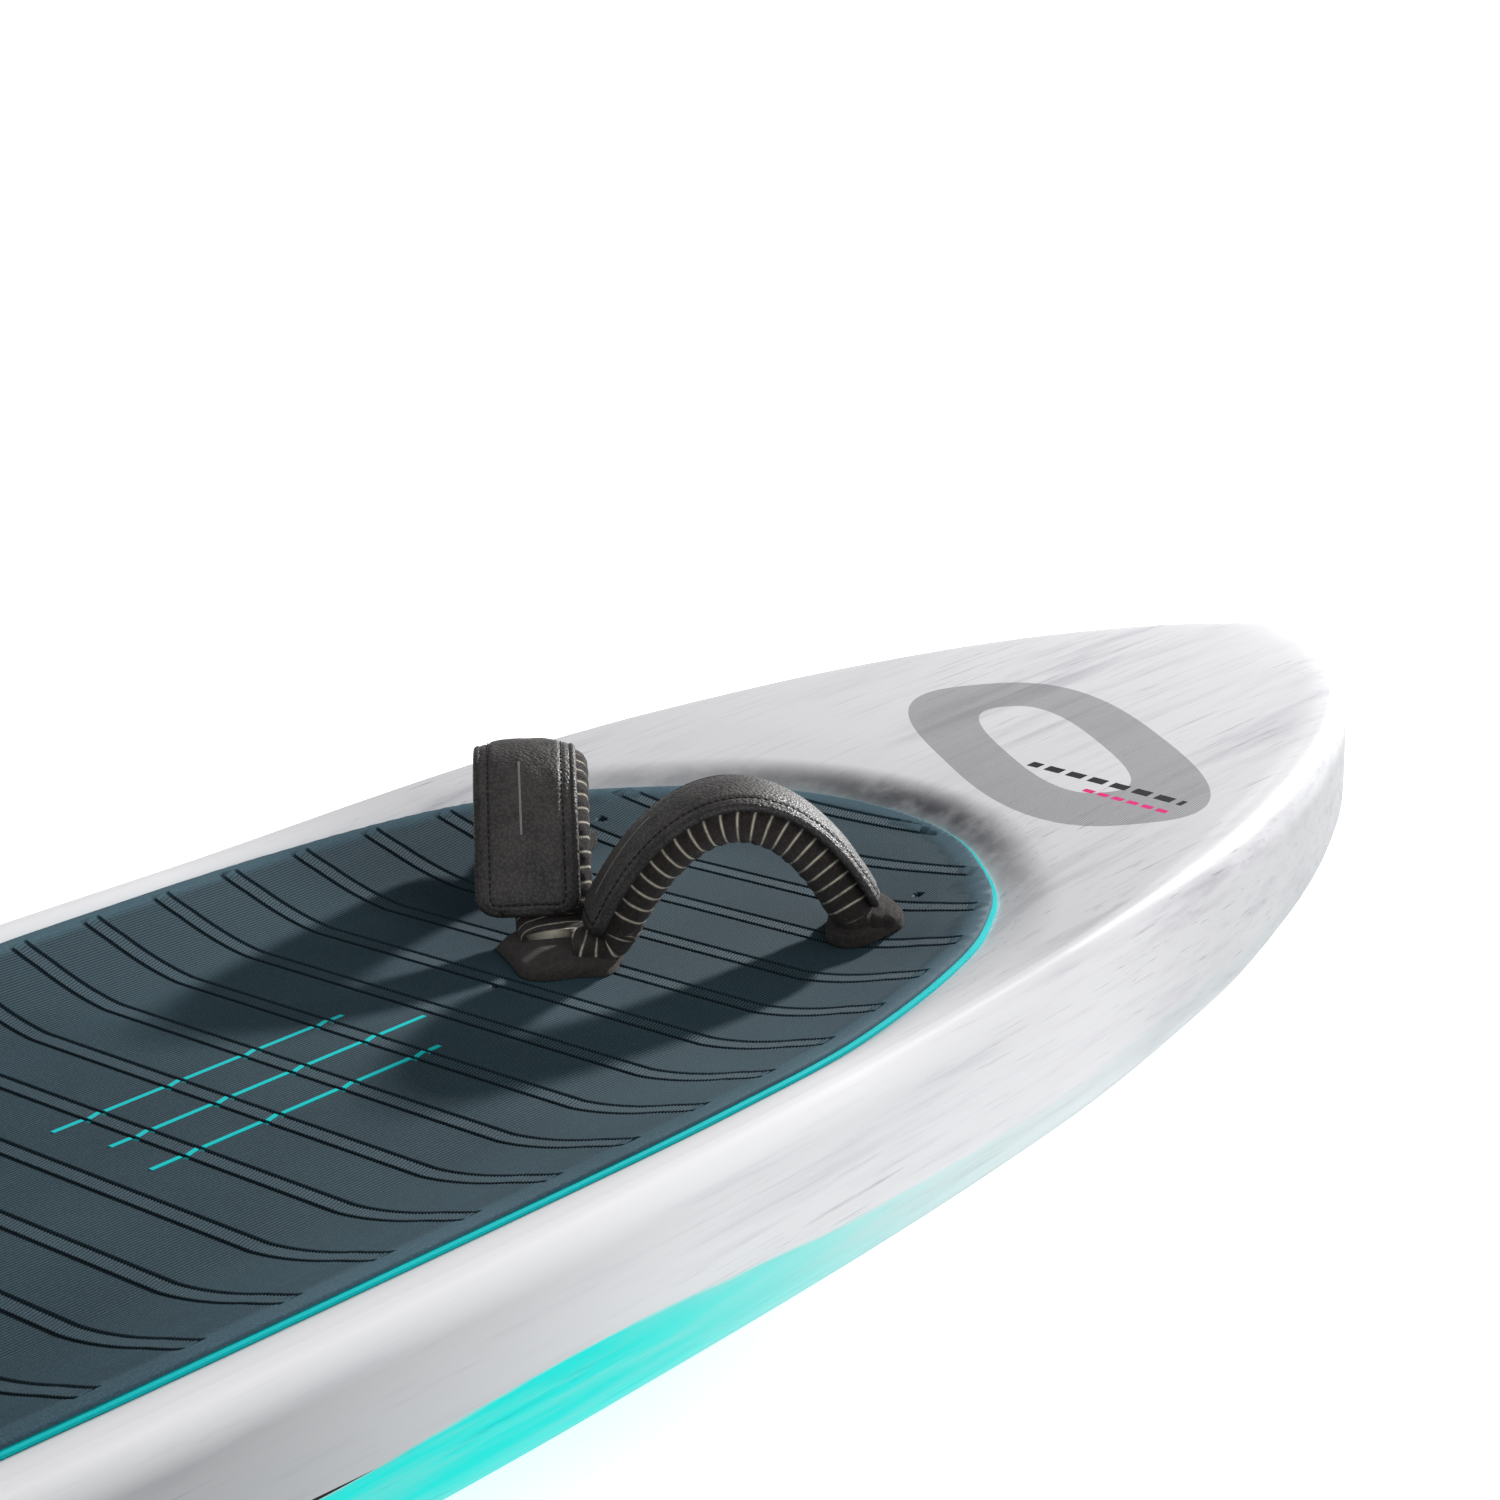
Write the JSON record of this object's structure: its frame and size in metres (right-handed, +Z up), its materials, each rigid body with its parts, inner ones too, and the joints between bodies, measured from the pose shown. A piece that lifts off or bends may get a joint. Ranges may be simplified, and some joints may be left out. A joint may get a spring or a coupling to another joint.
{
  "type": "stand up paddleboard",
  "caption": "Short foil-ready paddleboard, dished deck with ribbed grip pad, two arched front foot straps, twin bottom tracks, recessed handle, squared tail",
  "frame": {"origin": "middle of the board in plan, on the level surface that the flat of its bottom rests on", "axes": "+X towards the nose, +Y to port, +Z up out of the deck"},
  "size_m": [2.13, 0.5588, 0.2039],
  "materials": {
    "white_paint": "brushed",
    "aqua_paint": "satin",
    "foam": "matte",
    "dense_foam": "matte",
    "wood": "matte",
    "slate_eva": "ribbed",
    "aqua_eva": "matte",
    "black_plastic": "moulded",
    "steel": "brushed",
    "brass": "satin",
    "knit": "fuzzy",
    "leather": "pebbled",
    "webbing": "woven",
    "membrane": "matte"
  },
  "bodies": {
    "board": {"bottom_skin": "aqua_paint", "deck_pad": "slate_eva", "deck_skin": "white_paint", "foam_core_port": "foam", "foam_core_starboard": "foam", "handle_cup": "black_plastic", "handle_grip": "black_plastic", "handle_screw_front": "steel", "handle_screw_rear": "steel", "kick_pad": "slate_eva", "leash_bar": "steel", "leash_plug": "black_plastic", "mast_block": "dense_foam", "mast_track_port": "black_plastic", "mast_track_starboard": "black_plastic", "pad_base": "aqua_eva", "strap_insert_centre": "black_plastic", "strap_insert_port": "black_plastic", "strap_insert_starboard": "black_plastic", "strap_screw_centre": "steel", "strap_screw_port": "steel", "strap_screw_starboard": "steel", "strap_tab_centre": "knit", "strap_tab_port": "knit", "strap_tab_starboard": "knit", "strap_washer_centre": "black_plastic", "strap_washer_port": "black_plastic", "strap_washer_starboard": "black_plastic", "stringer": "wood", "vent_body": "black_plastic", "vent_cap": "steel", "vent_membrane": "membrane", "vent_seal": "black_plastic"},
    "strap_port": {"strap_webbing_port": "webbing", "strap_sleeve_port": "knit", "strap_cover_port": "leather"},
    "nut_front_port": {"track_nut_front_port": "brass"},
    "nut_rear_port": {"track_nut_rear_port": "brass"},
    "strap_starboard": {"strap_webbing_starboard": "webbing", "strap_sleeve_starboard": "knit", "strap_cover_starboard": "leather"},
    "nut_front_starboard": {"track_nut_front_starboard": "brass"},
    "nut_rear_starboard": {"track_nut_rear_starboard": "brass"}
  },
  "joints": [
    {"name": "strap_lean_port", "type": "hinge", "parent": "board", "child": "strap_port", "pos_m": [0.25112, 0.07125, 0.116], "axis": [0.7345, 0.6786, 0], "range_deg": [-12, 12], "stiffness_Nm_per_rad": 1.5},
    {"name": "nut_slide_front_port", "type": "slide", "parent": "board", "child": "nut_front_port", "axis": [1, 0, 0], "range_m": [-0.058, 0.05]},
    {"name": "nut_slide_rear_port", "type": "slide", "parent": "board", "child": "nut_rear_port", "axis": [1, 0, 0], "range_m": [-0.05, 0.058]},
    {"name": "strap_lean_starboard", "type": "hinge", "parent": "board", "child": "strap_starboard", "pos_m": [0.25112, -0.07125, 0.116], "axis": [0.7345, -0.6786, 0], "range_deg": [-12, 12], "stiffness_Nm_per_rad": 1.5},
    {"name": "nut_slide_front_starboard", "type": "slide", "parent": "board", "child": "nut_front_starboard", "axis": [1, 0, 0], "range_m": [-0.058, 0.05]},
    {"name": "nut_slide_rear_starboard", "type": "slide", "parent": "board", "child": "nut_rear_starboard", "axis": [1, 0, 0], "range_m": [-0.05, 0.058]}
  ]
}
